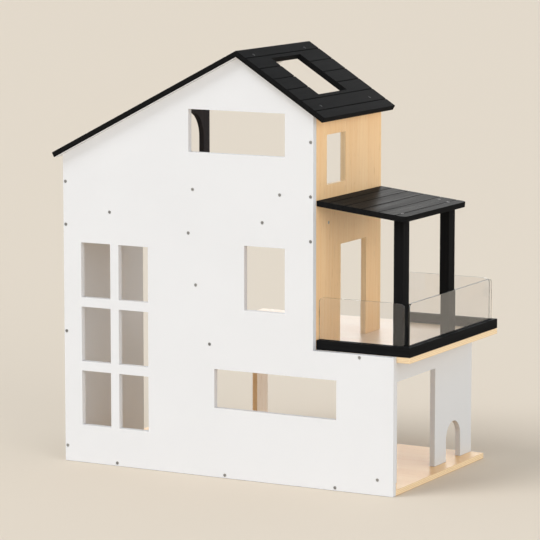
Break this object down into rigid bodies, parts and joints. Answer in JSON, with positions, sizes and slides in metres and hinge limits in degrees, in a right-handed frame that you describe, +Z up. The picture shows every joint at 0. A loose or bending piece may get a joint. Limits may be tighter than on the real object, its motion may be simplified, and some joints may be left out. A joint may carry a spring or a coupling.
{
  "type": "dollhouse",
  "caption": "Tall wooden dollhouse with a white windowed front, black pitched roof with a skylight, natural wood floors and a side balcony with clear guards under a canopy; open at the back.",
  "frame": {"origin": "bottom centre of the bounding box of the whole house, on the ground", "axes": "+X to the right along the front panel towards the balcony, +Y from the front panel towards the open play side, +Z up"},
  "size_m": [0.6376, 0.351, 0.6873],
  "materials": {
    "white_paint": "smooth satin white paint on board",
    "black_paint": "satin black paint on board",
    "natural_ply": "clear-varnished pale plywood",
    "clear_acrylic": "polished clear sheet",
    "screw_steel": "plain flat screw heads"
  },
  "bodies": {
    "root": {"attic_floor": "natural_ply", "attic_partition": "black_paint", "base_board": "natural_ply", "canopy": "black_paint", "facade_panel": "white_paint", "glass_back": "clear_acrylic", "glass_front": "clear_acrylic", "glass_right": "clear_acrylic", "ground_partition": "natural_ply", "left_wall": "white_paint", "lower_side_wall": "white_paint", "middle_floor": "natural_ply", "post_back": "black_paint", "post_front": "black_paint", "rail_back": "black_paint", "rail_front": "black_paint", "rail_right": "black_paint", "roof_left": "black_paint", "roof_right": "black_paint", "screw_attic_end": "screw_steel", "screw_attic_floor_1": "screw_steel", "screw_attic_floor_2": "screw_steel", "screw_base_1": "screw_steel", "screw_base_2": "screw_steel", "screw_base_3": "screw_steel", "screw_canopy_1": "screw_steel", "screw_canopy_2": "screw_steel", "screw_canopy_3": "screw_steel", "screw_front_short_1": "screw_steel", "screw_front_short_2": "screw_steel", "screw_front_short_3": "screw_steel", "screw_front_short_4": "screw_steel", "screw_left_wall_1": "screw_steel", "screw_left_wall_2": "screw_steel", "screw_left_wall_3": "screw_steel", "screw_left_wall_4": "screw_steel", "screw_middle_floor_1": "screw_steel", "screw_middle_floor_2": "screw_steel", "screw_roof_1": "screw_steel", "screw_roof_2": "screw_steel", "screw_roof_3": "screw_steel", "screw_roof_4": "screw_steel", "screw_side_wall": "screw_steel", "screw_upper_wall_1": "screw_steel", "screw_upper_wall_2": "screw_steel", "screw_upper_wall_3": "screw_steel", "upper_side_wall": "natural_ply"}
  },
  "joints": []
}
